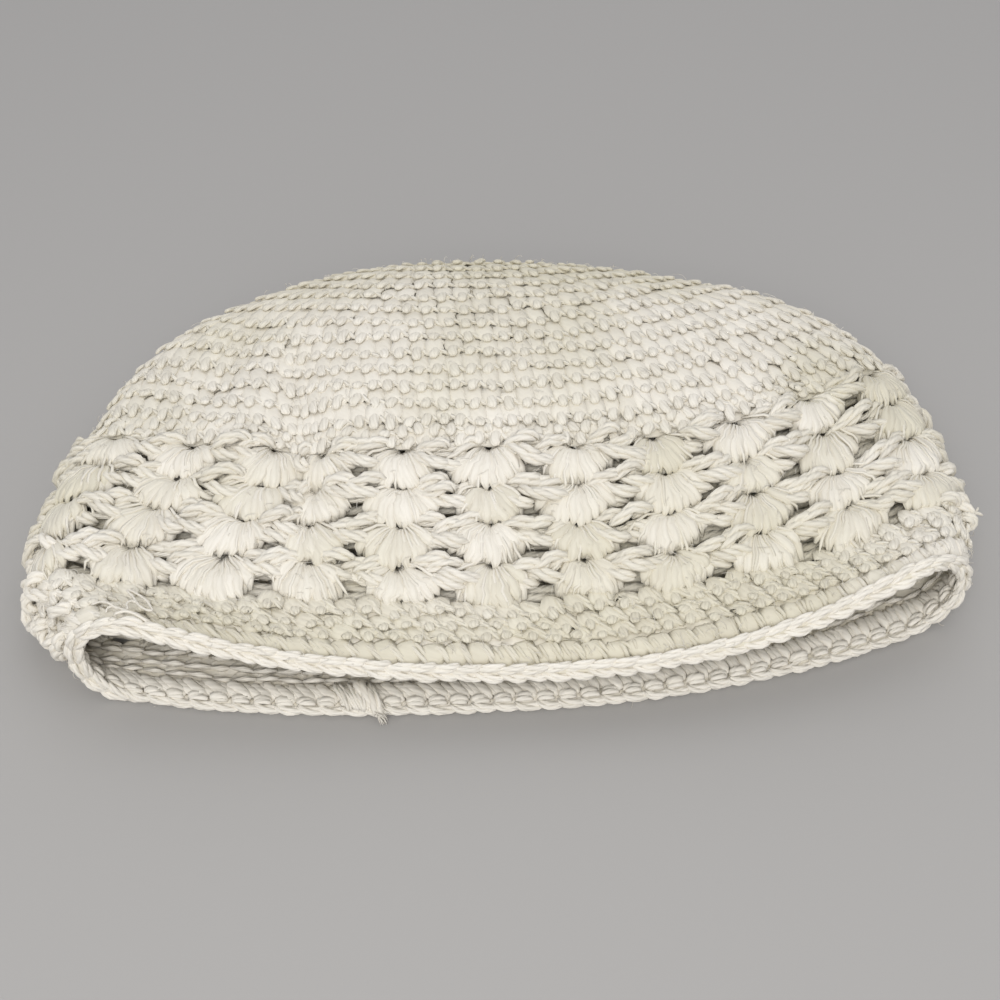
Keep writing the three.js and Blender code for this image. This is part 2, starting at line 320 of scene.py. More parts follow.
def yarn(paths, outward, radius, sides=6, flatten=1.0, leaf=0.0, lines=5, pitch=9.0, warm=0.0,
         ridge=1.0, belly=1.0):
    """Closed tubes, all alike in their faces, along paths of shape (strands, stops, 3).
    A ring is the outward and the sideways direction times cosine and sine of its angles. Its
    radius is 1 - leaf + leaf sin(pi t^belly) of the whole at share t of the strand, and
    END_RADIUS of that at the ends. The UV map holds millimetres walked, and the number of
    the ply line that winds round the strand once in a pitch."""
    strands, stops, _ = paths.shape
    out, across = square_to(paths, outward)
    angle = 2 * np.pi * (np.arange(sides) + 0.5) / sides
    part = np.linspace(0, 1, stops)
    swell = radius * (1 - leaf + leaf * np.sin(np.pi * part ** belly))
    swell[[0, -1]] *= END_RADIUS
    ring = (out[:, :, None] * np.cos(angle)[:, None] * flatten
            + across[:, :, None] * np.sin(angle)[:, None])
    points = keep_on_table(paths[:, :, None] + ring * swell[None, :, None, None])
    tube = torus_quads(stops, sides, wraps=False)
    fan = np.array([[0, 2 * k + 1, 2 * k + 2, 2 * k + 3] for k in range(sides // 2 - 1)])
    faces = np.concatenate([tube, fan[:, ::-1], fan + (stops - 1) * sides])
    quads = (np.arange(strands)[:, None, None] * stops * sides + faces).reshape(-1, 4)
    walked = walked_along(paths) + luck.random((strands, 1)) * PATTERN_SHIFT
    ring_at, side_at = faces // sides, (faces % sides).astype(float)
    wraps = (side_at.max(axis=1) - side_at.min(axis=1) > sides / 2)[:, None]
    side_at = np.where(wraps & (side_at == 0), sides, side_at) / sides
    side_at[len(tube):] = 0
    along = walked[:, ring_at]
    uv = np.stack([along, lines * (side_at + along / pitch)], axis=-1)
    per_strand = {"tone": luck.random(strands), "warm": warm, "ridge": ridge}
    looks = {key: np.repeat(np.broadcast_to(value, strands), stops * sides)
             for key, value in per_strand.items()}
    return {"points": points.reshape(-1, 3), "quads": quads, "uv": uv.reshape(-1, 2), **looks}


def plied(paths, outward, radius, plies=3, pitch=5.0, sides=4, leaf=0.0, warm=0.0, ridge=0.5):
    """Strands of twisted plies. Each ply winds round the strand's own line at half its
    radius, by one turn for each pitch walked, and a little wider or closer than the rest."""
    strands, stops, _ = paths.shape
    out, across = square_to(paths, outward)
    first = luck.random((strands, 1, 1)) + np.arange(plies)[None, :, None] / plies
    turn = 2 * np.pi * (first + walked_along(paths)[:, None] / pitch)[..., None]
    bulge = (1 - leaf + leaf * np.sin(np.pi * np.linspace(0, 1, stops)))[None, None, :, None]
    reach = 0.5 * radius * bulge * (1 + luck.normal(0, PLY_UNEVEN, (strands, plies, 1, 1)))
    wound = paths[:, None] + reach * (out[:, None] * np.cos(turn) + across[:, None] * np.sin(turn))
    shape = (strands * plies, stops, 3)
    facing = np.broadcast_to(outward[:, None], wound.shape).reshape(shape)
    return yarn(wound.reshape(shape), facing, PLY_RADIUS * radius, sides, leaf=leaf, lines=3,
                pitch=7.0, warm=warm, ridge=ridge)


def lining(share_count, alongs, offsets):
    """A closed layer in the middle of the wall. Its section is the loop of the distances
    along and the offsets, and it goes all the way round."""
    shares = np.linspace(0, 1, share_count, endpoint=False)[None, :]
    points, _ = on_wall(shares, alongs, np.asarray(offsets)[:, None])
    quads = torus_quads(len(points), share_count)
    points = keep_on_table(points).reshape(-1, 3)
    uv = points[quads.ravel()][:, :2] * 0.3
    return {"points": points, "quads": quads, "uv": uv, "tone": np.full(len(points), 0.5),
            "warm": np.full(len(points), 0.1), "ridge": np.full(len(points), 0.4)}


def thin_lining(share_count, alongs, outer, inner):
    """A lining whose section goes out along the outer offset and back along the inner one."""
    there_and_back = np.concatenate([alongs, alongs[::-1]])
    return lining(share_count, there_and_back, np.repeat([outer, inner], len(alongs)))


def placed(name, data):
    """A new object in the scene that carries the data."""
    made = bpy.data.objects.new(name, data)
    bpy.context.scene.collection.objects.link(made)
    return made


def yarn_piece(name, bundles, replaces):
    """One mesh from bundles of tubes, with a UV map that follows the strands, and a tone, a
    tint-and-shade value that paints beige tint, shade and light, and a ridge for each strand. It
    stands for the CAD nodes that it replaces."""
    starts = np.cumsum([0] + [len(b["points"]) for b in bundles[:-1]])
    points = np.concatenate([b["points"] for b in bundles]) * MM
    quads = np.concatenate([b["quads"] + start for b, start in zip(bundles, starts)])
    mesh = bpy.data.meshes.new(name)
    mesh.vertices.add(len(points))
    mesh.vertices.foreach_set("co", points.astype(np.float32).ravel())
    mesh.loops.add(quads.size)
    mesh.loops.foreach_set("vertex_index", quads.astype(np.int32).ravel())
    mesh.polygons.add(len(quads))
    mesh.polygons.foreach_set("loop_start", np.arange(0, quads.size, 4, dtype=np.int32))
    mesh.polygons.foreach_set("use_smooth", np.ones(len(quads), bool))
    uv = np.concatenate([b["uv"] for b in bundles])
    mesh.uv_layers.new(name="strand").uv.foreach_set("vector", uv.astype(np.float32).ravel())
    for key in ("tone", "warm", "ridge"):
        values = np.concatenate([b[key] for b in bundles]).astype(np.float32)
        mesh.attributes.new(key, "FLOAT", "POINT").data.foreach_set("value", values)
    mesh.update(calc_edges=True)
    mesh.materials.append(COTTON)
    piece = placed(name, mesh)
    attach(piece, "root")
    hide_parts(*replaces)


class Wire:
    """A socket of a node tree, so that shader maths reads as an expression."""

    def __init__(self, paint, socket):
        self.paint = paint
        self.socket = socket

    def maths(self, operation, *values):
        sockets = dict(enumerate(values))
        return self.paint.node("ShaderNodeMath", {"operation": operation}, sockets)

    def __add__(self, other):
        return self.maths("ADD", self, other)

    def __radd__(self, other):
        return self.maths("ADD", other, self)

    def __sub__(self, other):
        return self.maths("SUBTRACT", self, other)

    def __rsub__(self, other):
        return self.maths("SUBTRACT", other, self)

    def __mul__(self, other):
        return self.maths("MULTIPLY", self, other)

    def __rmul__(self, other):
        return self.maths("MULTIPLY", other, self)

    def __pow__(self, other):
        return self.maths("POWER", self, other)

    def __abs__(self):
        return self.maths("ABSOLUTE", self)

    def sine(self):
        return self.maths("SINE", self)

    def clamped(self):
        """The value, but never under 0 or over 1."""
        return self.maths("MINIMUM", self.maths("MAXIMUM", self, 0.0), 1.0)


class Paint:
    """A material, whose nodes all come from node()."""

    def __init__(self, name):
        self.material = bpy.data.materials.new(name)
        self.material.use_nodes = True
        self.tree = self.material.node_tree
        self.tree.nodes.clear()

    def node(self, kind, settings=None, sockets=None, output=0):
        """A new node with its settings and the values or links of its sockets."""
        made = self.tree.nodes.new(kind)
        for key, value in (settings or {}).items():
            setattr(made, key, value)
        for key, value in (sockets or {}).items():
            if isinstance(value, Wire):
                self.tree.links.new(value.socket, made.inputs[key])
            else:
                made.inputs[key].default_value = value
        return Wire(self, made.outputs[output]) if made.outputs else None

    def place(self):
        return self.node("ShaderNodeTexCoord", output="Object")

    def attribute(self, name):
        return self.node("ShaderNodeAttribute", {"attribute_name": name}, output="Fac")

    def noise(self, where, scale):
        sockets = {"Vector": where, "Scale": scale, "Detail": 2.0}
        return self.node("ShaderNodeTexNoise", None, sockets)

    def mix(self, factor, first, second):
        """A colour between two: the first at factor 0 and the second at 1."""
        sockets = {"Factor": factor, 6: first, 7: second}
        return self.node("ShaderNodeMix", {"data_type": "RGBA"}, sockets, 2)

    def finish(self, **sockets):
        """The material, with its surface's sockets. An underscore stands for a space."""
        spaced = {key.replace("_", " "): value for key, value in sockets.items()}
        surface = self.node("ShaderNodeBsdfPrincipled", None, spaced)
        self.node("ShaderNodeOutputMaterial", None, {"Surface": surface})
        return self.material


# The yarn where it is palest; beige and a little darker, for its beige patches and for painted
# shade; and the painted shade in its grooves.
IVORY = (0.87, 0.83, 0.75, 1)
BEIGE_AND_SHADE = (0.73, 0.69, 0.555, 1)
SHADED = (0.52, 0.47, 0.37, 1)
YELLOWED_PATCHES = 30.0
RIDGE_HEIGHT = 0.22 * MM


def cotton():
    """Matt ivory cotton. A strand's plies are ridges |sin| of the ply number in its UV map,
    with fine fibres that run the same way, and painted shade in the grooves between plies and
    between fibres."""
    paint = Paint("ivory_cotton")
    strand = paint.node("ShaderNodeUVMap", {"uv_map": "strand"})
    along = paint.node("ShaderNodeSeparateXYZ", None, {0: strand}, "X")
    twist = paint.node("ShaderNodeSeparateXYZ", None, {0: strand}, "Y")
    tone = paint.attribute("tone")
    warm = paint.attribute("warm")
    ridge = paint.attribute("ridge")

    ply = abs((twist * np.pi).sine())
    stretched = {0: along * 0.45, 1: twist * 2.6, 2: tone * 40.0}
    fibre = paint.noise(paint.node("ShaderNodeCombineXYZ", None, stretched), 1.0)

    # Beige patches at random. Where a strand's tint-and-shade value is high it goes beige and
    # darker, which paints shade in places, and where it is low it goes ivory and paler, which
    # paints light in places.
    patch = paint.noise(paint.place(), YELLOWED_PATCHES)
    tinted = ((patch - 0.5) * 3.0 + 0.2 + warm).clamped()
    colour = paint.mix(tinted * 0.85, IVORY, BEIGE_AND_SHADE)
    # Painted shade in the grooves between plies and between fibres, a random tone for each strand,
    # and the painted shade and light of each strand's tint-and-shade value.
    groove = ridge * (1.0 - ply) ** 2.0
    shade = groove * 0.30 + (0.52 - fibre) * (0.25 + ridge * 0.5)
    shade = shade + (0.5 - tone) * 0.22 + 0.12 - ridge * 0.08 + warm * 0.10
    colour = paint.mix(shade.clamped(), colour, SHADED)

    height = (ply * 0.7 + fibre * 0.8) * (0.15 + ridge * 0.85)
    relief = {"Strength": 0.8, "Distance": RIDGE_HEIGHT, "Height": height}
    bump = paint.node("ShaderNodeBump", None, relief, "Normal")
    return paint.finish(Base_Color=colour, Roughness=0.85, Normal=bump, Sheen_Weight=0.15,
                        Sheen_Roughness=0.5, Specular_IOR_Level=0.15)


COTTON = cotton()

# How much each hand-made stitch differs from the next in its size, lean, drop and lift.
STITCH_SPREAD = np.array([0.05, 0.07, 0.04, 0.10])


def lay(share, along, path, wide, tall, shake):
    """Lays a stitch's path at every place. The path's columns are across, up and off the
    wall. Across is times wide, a share of the way round, and up is times tall, along it.
    Shake holds each stitch's own size, lean, drop and lift."""
    size, lean, drop, lift = shake
    across = (path[:, 0] + lean * (path[:, 1] - 0.5)) * size
    up = path[:, 1] + drop
    return share[:, None] + across * wide, along + up * tall, path[:, 2] + lift


def shaken(count, lean=0.0, rough=1.0):
    """How each hand-made stitch differs from the next, as columns for lay()."""
    return luck.normal((1, lean, 0, 0), rough * STITCH_SPREAD, (count, 4)).T[..., None]


# One single crochet of the crown, from outside: a broad smooth pad, the thick tab of its loop,
# which hangs out over the round before it, and the lip beside the tab. On the inside, a bar.
# Columns: across in stitches, up in rounds, off the wall in millimetres.
PAD = sampled([
    [0.03, 1.17, -0.22], [0.01, 0.92, 0.02], [0.00, 0.62, 0.34], [0.00, 0.32, 0.50],
    [0.02, -0.04, 0.20],
], 6)
TAB = sampled([
    [0.08, 0.50, 0.30], [0.03, 0.22, 0.74], [-0.02, 0.00, 1.02], [-0.06, -0.14, 1.08],
    [-0.08, -0.27, 0.94],
], 6)
LIP = sampled([[0.14, 0.40, 0.25], [0.32, 0.24, 0.58], [0.52, 0.10, 0.58], [0.74, 0.02, 0.28]], 4)
INNER_BAR = sampled([[-0.5, 0.5, -0.5], [0.0, 0.38, -1.0], [0.5, 0.5, -0.5]], 3)

# Each strand with its radius, its sides, how flat it is pressed, its lines and how strongly
# they show. The loops are the tab and the lip alone.
CROWN_STITCH = (
    (PAD, 1.85, 8, 0.25, 6, 0.12),
    (TAB, 0.92, 8, 0.44, 6, 0.5),
    (LIP, 0.46, 4, 0.80, 4, 0.5),
    (INNER_BAR, 0.65, 4, 1.00, 5, 1.0),
)
CROWN_LOOPS = CROWN_STITCH[1:3]
STITCH_PITCH = 14.0


def stitches(strands, shares, low, tall, wide, along_at=None, lean=0.0, warm=0.0, rough=1.0):
    """One round of single crochet, whose foot is at low. Along_at turns a share of the way
    round and a part of the way up into a distance along, where the rounds aren't level."""
    bundles = []
    shake = shaken(len(shares), lean, rough)
    for path, radius, sides, flatten, lines, ridge in strands:
        share, up, offset = lay(shares, low, path, wide, tall, shake)
        along = along_at(share, up) if along_at else up
        paths, outward = on_wall(share, along, offset)
        bundles.append(yarn(paths, outward, radius, sides, flatten, lines=lines,
                            pitch=STITCH_PITCH, warm=warm, ridge=ridge))
    return bundles


# The crown's rounds, the width of one stitch, and the fewest and the most in a round. Each
# round starts farther on than the one before it, by a part of a stitch, and is painted a
# little darker and more beige, as painted shade on the rounds farther up the crown.
CROWN_ROUNDS = 17
CROWN_STITCH_WIDTH = 3.2
FEWEST_IN_ROUND = 6
MOST_IN_ROUND = 110
ROUND_SHIFT = 0.04
ROUND_SHADE = 0.045


def stitches_in_round(k):
    """How many stitches fill a round of the crown: its length divided by one's width."""
    shares = np.linspace(0, 1, 200)
    middle = crown_along(shares, np.full(len(shares), (k + 0.4) / CROWN_ROUNDS))
    ring, _ = on_wall(shares, middle, 0.0)
    length = walked_along(ring[None])[0, -1]
    return int(np.clip(round(length / CROWN_STITCH_WIDTH), FEWEST_IN_ROUND, MOST_IN_ROUND))


def crown_rounds(first, last):
    """Rounds of single crochet on the crown. The first round shows a second row of loops,
    because it is worked into the lace."""
    bundles = []
    tall = 1 / CROWN_ROUNDS
    for k in range(first, last):
        count = stitches_in_round(k)
        wide = 1 / count
        shares = FIRST_SHARE + (np.arange(count) + 0.5 + ROUND_SHIFT * k) / count
        foot = (k + 0.25) / CROWN_ROUNDS
        # Painted shade: each round farther up the crown is painted darker and more beige.
        bundles += stitches(CROWN_STITCH, shares, foot, tall, wide, crown_along, lean=0.06,
                            warm=ROUND_SHADE * k - 0.05)
        if k == 0:
            bundles += stitches(CROWN_LOOPS, shares + 0.5 * wide, foot + 0.5 * tall, 0.8 * tall,
                                wide, crown_along, rough=2.0)
    return bundles


def crown_lining(first, last):
    """The lining behind the crown's rounds, between two parts of the way up it."""
    share_count = 132
    shares = np.linspace(0, 1, share_count, endpoint=False)[None, :]
    parts = np.linspace(first, last, 24)[:, None]
    alongs = crown_along(*np.broadcast_arrays(shares, parts))
    return thin_lining(share_count, alongs, -0.25, -0.7)


def fuzz(count, low, high):
    """Short stray fibres that stand off the fabric between two distances along it. Each
    bends over sideways as the square of its way, and rises as a sine of it."""
    t = np.linspace(0, 1, 5)
    share = luck.random((count, 1))
    along = low + (high - low) * luck.random((count, 1))
    sideways = luck.normal(0, 0.0035, (count, 1))
    onward = luck.normal(0, 1.2, (count, 1))
    height = 0.4 + luck.random((count, 1)) * 1.1
    off = 0.9 + height * np.sin(2.2 * t)
    paths, outward = on_wall(share + sideways * t ** 2, along + onward * t, off)
    return yarn(paths, outward, 0.05, 4, warm=-0.4, ridge=0.1)


# The crown is two meshes, the rounds near the lace and those far from it.
near_rounds = crown_rounds(0, 7) + [crown_lining(0.005, 0.45), fuzz(220, 43, 68)]
yarn_piece("crown_near_rounds", near_rounds, ["crown"])
far_rounds = crown_rounds(7, CROWN_ROUNDS) + [crown_lining(0.45, LAST_PART), fuzz(260, 68, 104)]
yarn_piece("crown_far_rounds", far_rounds, ["crown"])


# The strands on one side of a shell, from its middle to its wing: broad petals that leave one
# narrow apex and overlap, thin loose plies over them, and flat posts that fill the shell
# behind. Columns: where a strand leaves the apex and where it ends, across in columns and
# down in rows, and its way out at the middle.
PETALS = np.array([
    [0.006, 0.07, 0.045, 1.03, 0.026],
    [0.014, 0.06, 0.130, 1.08, 0.078],
    [0.024, 0.04, 0.215, 1.03, 0.135],
    [0.036, 0.01, 0.295, 0.90, 0.195],
    [0.050, -0.03, 0.375, 0.68, 0.265],
])
LOOSE_PLIES = np.array([
    [0.020, 0.06, 0.085, 1.02, 0.052],
    [0.030, 0.04, 0.170, 1.00, 0.108],
    [0.042, 0.01, 0.255, 0.92, 0.170],
    [0.060, -0.02, 0.345, 0.74, 0.238],
    [0.085, -0.06, 0.430, 0.50, 0.320],
])
POSTS = np.array([
    [0.010, 0.05, 0.030, 0.95, 0.030],
    [0.020, 0.04, 0.120, 0.98, 0.080],
    [0.035, 0.02, 0.200, 0.96, 0.145],
    [0.050, -0.02, 0.280, 0.90, 0.210],
    [0.070, -0.05, 0.350, 0.78, 0.275],
])

# A shell's strand seen from the side: its height off its layer, at parts of its way down.
FAN_PARTS = np.array([0, 0.25, 0.6, 0.88, 1])
FAN_HEIGHTS = np.array([-1.3, 0, 0.35, 0.15, -0.8])

# How shells and their strands differ, across in columns, down in rows and off the wall: each
# strand's wander, each shell's lean, and what its size changes.
STRAND_WANDER = np.array([0.014, 0.05, 0.14])
SHELL_LEAN = np.array([0.03, 0.0, 0.0])
SHELL_GROWS = np.array([1.0, 0.6, 0.0])


def fan_paths(side_strands, lift, stops):
    """The strands of one shell, from its apex down to the next round. Columns: across in
    columns, down in rows, off the wall in millimetres. Each is a curve through its apex, a
    middle point that bulges out, and its foot, which tucks in."""
    both = np.concatenate([side_strands[::-1], side_strands])
    side = np.repeat([-1, 1], len(side_strands))
    t = np.linspace(0, 1, stops)
    apex_x, apex_y, foot_x, foot_y, way_out = both.T[:, :, None]
    bulge = 2 * way_out - (apex_x + foot_x) / 2
    across = (1 - t) ** 2 * apex_x + 2 * t * (1 - t) * bulge + t ** 2 * foot_x
    down = apex_y + (foot_y - apex_y) * t
    off = smooth_through(FAN_PARTS, lift + FAN_HEIGHTS, t)
    return np.stack([side[:, None] * across, down, off + 0 * across], axis=-1)


def shell_strands(top, side_strands, lift, stops, roughness):
    """Paths of the same strands in all the shells of one lace round. Each shell leans and
    each strand wanders a little."""
    shell = np.arange(SHELLS_ROUND)[:, None, None]
    path = fan_paths(side_strands, lift, stops)[None]
    each_shell = (SHELLS_ROUND, 1, 1, 1)
    wander = luck.normal(0, roughness, (SHELLS_ROUND, path.shape[1], 1, 3)) * STRAND_WANDER
    lean = luck.normal(0, roughness, each_shell) * SHELL_LEAN
    size = 1 + luck.normal(0, 0.06 * roughness, each_shell) * SHELL_GROWS
    away_from_apex = np.linspace(0.15, 1, stops)[None, None, :, None]
    path = path * size + (wander + lean) * away_from_apex
    share = (FIRST_COLUMN + shell + path[..., 0]) / SHELLS_ROUND
    paths, outward = on_wall(share, top - path[..., 1] * SHELL_ROW_HEIGHT, path[..., 2])
    return paths.reshape(-1, stops, 3), outward.reshape(-1, stops, 3)


def shell_fans(top):
    """All the shells of one lace round: posts, petals over them and loose plies over those.
    The petals of one shell share their hue."""
    posts, outward = shell_strands(top, POSTS, lift=0.30, stops=5, roughness=0.5)
    bundles = [yarn(posts, outward, 1.05, 6, flatten=0.6, lines=6, pitch=60.0, ridge=0.3)]
    petals, outward = shell_strands(top, PETALS, lift=0.80, stops=8, roughness=1.0)
    hue = np.repeat(luck.normal(0.15, 0.25, SHELLS_ROUND), len(petals) // SHELLS_ROUND)
    bundles.append(yarn(petals, outward, 1.15, 8, flatten=0.6, leaf=0.6, lines=5, pitch=60.0,
                        warm=hue, ridge=0.45, belly=1.6))
    loose, outward = shell_strands(top, LOOSE_PLIES, lift=1.1, stops=8, roughness=1.2)
    bundles.append(yarn(loose, outward, 0.38, 4, flatten=0.9, leaf=0.4, lines=2, pitch=30.0,
                        ridge=0.3, belly=1.4))
    return bundles


# One arm of a chain's link: it leaves under the link before it, spreads, and ends over
# the start of the next. Columns: forward in links, aside and off the wall in millimetres.
CHAIN_ARM = sampled([
    [-0.16, 0.02, -0.35], [0.14, 0.22, 0.40], [0.52, 0.55, 1.0], [0.95, 0.85, 1.15],
    [1.30, 0.90, 0.85], [1.50, 0.72, 0.10],
], 9)
ARM_SPREAD = np.array([0.2, 0.6, 0.8])


def chain(places, along, link, radius, tilt=0.0, raise_by=None, roughness=0.1, spread=1.0,
          warm=0.0, sides=6):
    """Links of chain at shares of the way round. Tilt turns the chain about its own line,
    from flat on the wall toward the mouth, in radians. Raise_by gives its height off the
    wall from the share of the way round."""
    bundles = []
    for side in (1, -1):
        shake = luck.normal(0, roughness, (len(places), 1, 3)) * ARM_SPREAD
        arm = CHAIN_ARM[None] * np.array([1, side * spread, 1]) + shake
        aside = arm[..., 1] * np.cos(tilt) - arm[..., 2] * np.sin(tilt)
        off = arm[..., 1] * np.sin(tilt) + arm[..., 2] * np.cos(tilt)
        share = places[:, None] + arm[..., 0] * link
        lift = raise_by(share) if raise_by else 0
        paths, outward = on_wall(share, along(share) + aside, off + lift)
        bundles.append(plied(paths, outward, radius, pitch=12.0, sides=sides, leaf=0.45, warm=warm))
    return bundles


def between_shells(share):
    """0 at the middle of a shell and 1 in the middle of the gap beside it, by a cosine."""
    column = share * SHELLS_ROUND - FIRST_COLUMN
    return 0.5 - 0.5 * np.cos(2 * np.pi * column)


# The chain between two shells: where its links start in a column, a link's length as a share
# of the way round, and how far its strands lie aside of its line. The strands behind the gap
# lie this far down from the round's top, and this far off the wall.
ARCH_LINKS = np.array([0.14, 0.33, 0.52])
ARCH_LINK = 0.27 / SHELLS_ROUND
ARCH_STRANDS = (-1.4, 0.0, 1.3)
GAP_STRANDS = ((2.4, -1.2), (3.9, -1.5), (5.4, -1.2))


def in_columns(parts):
    """Shares of the way round at the same parts of every column, with a row for each."""
    columns = FIRST_COLUMN + np.arange(SHELLS_ROUND)[:, None]
    return (columns + parts) / SHELLS_ROUND


def arches(top):
    """The chain between two shells, with three strands in it: it leaves one apex behind the
    shell above, comes out over the gap, and goes in at the next apex. Three more strands sag
    behind the gap."""
    def along(share):
        return top - 0.5 - 1.2 * between_shells(share)

    def lift(share):
        return -1.3 + 2.0 * between_shells(share)

    bundles = chain(in_columns(ARCH_LINKS).ravel(), along, ARCH_LINK, 1.15, raise_by=lift,
                    roughness=0.8, spread=2.3, sides=4)
    share = in_columns(np.linspace(0.04, 0.96, 8))
    for aside in ARCH_STRANDS:
        wander = luck.normal(0, 0.2, (SHELLS_ROUND, 1))
        paths, outward = on_wall(share, along(share) + aside + wander, lift(share) + 0.1)
        bundles.append(yarn(paths, outward, 0.6, 4))
    share = in_columns(np.linspace(0.24, 0.76, 5))
    # The strands behind the gap are painted a little more beige and darker, as painted shade.
    for down, deep in GAP_STRANDS:
        wander = luck.normal(0, 0.5, (SHELLS_ROUND, 1))
        sag = deep - 0.5 * np.abs(wander) - 0.5 * between_shells(share)
        paths, outward = on_wall(share, top - down + wander, sag)
        bundles.append(yarn(paths, outward, 0.9, 4, warm=0.2, ridge=0.6))
    return bundles


# Each fold's side, -1 left or 1 right, and the shares of the way round between which its
# outermost line lies. A knob's half width as such a share, and its least height.
LEFT_FOLD = (-1, 0.65, 0.85)
RIGHT_FOLD = (1, 0.15, 0.35)
KNOB_HALF_WIDTH = 0.0042
KNOB_HEIGHT = 1.6


def fold_knobs(fold, low, high, count):
    """Loops that stand out where the fabric folds over, between two distances along. Each is
    half a turn, off the wall and back, about a place on the fold's outermost line."""
    side, first, last = fold
    shares = np.linspace(first, last, 81)
    along = low + (high - low) * (np.arange(count) + luck.random(count)) / count
    across = side * wall_point(shares[None, :], along[:, None])[..., 0]
    share = shares[np.argmax(across, axis=1)] + luck.normal(0, 0.012, count)
    turn = np.linspace(0, np.pi, 9)
    lean = luck.normal(0, 0.5, (count, 1))
    height = KNOB_HEIGHT + 0.3 * luck.random((count, 1))
    paths, outward = on_wall(share[:, None] - KNOB_HALF_WIDTH * np.cos(turn),
                             along[:, None] + lean * np.cos(turn), 0.2 + height * np.sin(turn))
    return plied(paths, outward, 1.0, pitch=10.0, sides=6, warm=-0.3)


def lace_round(row):
    """Shells of one round, with the arches above their gaps and the knobs at the folds."""
    top = BRIM_HEIGHT + (SHELL_ROWS - row + 1) * SHELL_ROW_HEIGHT
    low = top - SHELL_ROW_HEIGHT
    bundles = shell_fans(top) + arches(top)
    knobs = [fold_knobs(LEFT_FOLD, low, top, 5), fold_knobs(RIGHT_FOLD, low, top, 3)]
    return bundles + knobs + [fuzz(160, low, top)]


for row in range(1, SHELL_ROWS + 1):
    yarn_piece(f"lace_round_{row}", lace_round(row), [f"shell_row_{row}"])


# The single crochet of the brim is like the crown's, with a looser strand that slants down
# over its tab and a thread beside that.
BRIM_OVER = sampled([
    [-0.04, 0.98, 0.20], [0.16, 0.78, 0.72], [0.40, 0.44, 0.80], [0.62, 0.12, 0.30],
], 5)
BRIM_THREAD = sampled([
    [0.22, 0.52, 0.40], [0.34, 0.26, 0.72], [0.50, 0.02, 0.72], [0.66, -0.10, 0.30],
], 5)
BRIM_STITCH = (
    (PAD, 2.20, 8, 0.25, 8, 0.5),
    (TAB, 0.88, 8, 0.46, 6, 0.7),
    (LIP, 0.56, 4, 0.80, 4, 0.5),
    (BRIM_OVER, 0.38, 4, 0.80, 2, 0.4),
    (BRIM_THREAD, 0.36, 4, 0.80, 2, 0.4),
    (INNER_BAR, 0.60, 4, 1.00, 5, 0.5),
)

# Where the brim's three rounds of single crochet begin and end, from the lace to the groove,
# and where the smooth round under the groove stands and how tall it is.
BRIM_BOUNDS = (13.4, 10.8, 8.5, 6.4)
POSTS_LOW = 2.0
POSTS_TALL = 3.8
LEGS_TALL = 4.4

# The smooth round under the groove: one broad flat post in each stitch, and three thin
# strands that slant down across its right edge. Each with its control points, its radius,
# how flat it is, how much paler it is painted, and how strongly its lines show.
BRIM_POSTS = (
    ([[0.0, 1.0, -0.10], [0.0, 0.80, 0.42], [0.03, 0.35, 0.50], [0.05, 0.0, 0.1]],
     2.1, 0.22, 0.0, 0.25),
    ([[0.10, 0.95, 0.2], [0.26, 0.70, 0.80], [0.46, 0.30, 0.84], [0.62, 0.00, 0.2]],
     0.42, 0.8, -0.3, 0.3),
    ([[0.26, 0.95, 0.1], [0.40, 0.75, 0.78], [0.56, 0.45, 0.80], [0.70, 0.15, 0.2]],
     0.38, 0.8, -0.2, 0.3),
    ([[-0.30, 0.90, 0.1], [-0.22, 0.70, 0.72], [-0.08, 0.40, 0.70], [0.06, 0.1, 0.2]],
     0.34, 0.8, -0.1, 0.3),
)

# The legs behind the posts, each with its place across the stitch and its radius. And how
# many steps the linings take round the mouth.
INNER_LEGS = ((-0.30, 0.8), (-0.08, 0.6), (0.30, 1.0))
LINING_SHARES = 220


def repeated(shares, low, tall, points, stops, radius, flatten, **looks):
    """The same short strand at every stitch of a round at the mouth."""
    shake = shaken(len(shares))
    share, along, offset = lay(shares, low, sampled(points, stops), MOUTH_STITCH, tall, shake)
    paths, outward = on_wall(share, along, offset)
    return yarn(paths, outward, radius, 6, flatten, **looks)


def brim_shade_and_light(share):
    """1 over the middle of the top layer, painted shade that makes the brim darker and more beige
    there, and -0.5 at its folds, painted light that makes them paler.
    """
    away = np.abs(share - np.round(share) + 0.02)
    return 1.5 * ease(0.26, 0.14, away) - 0.5


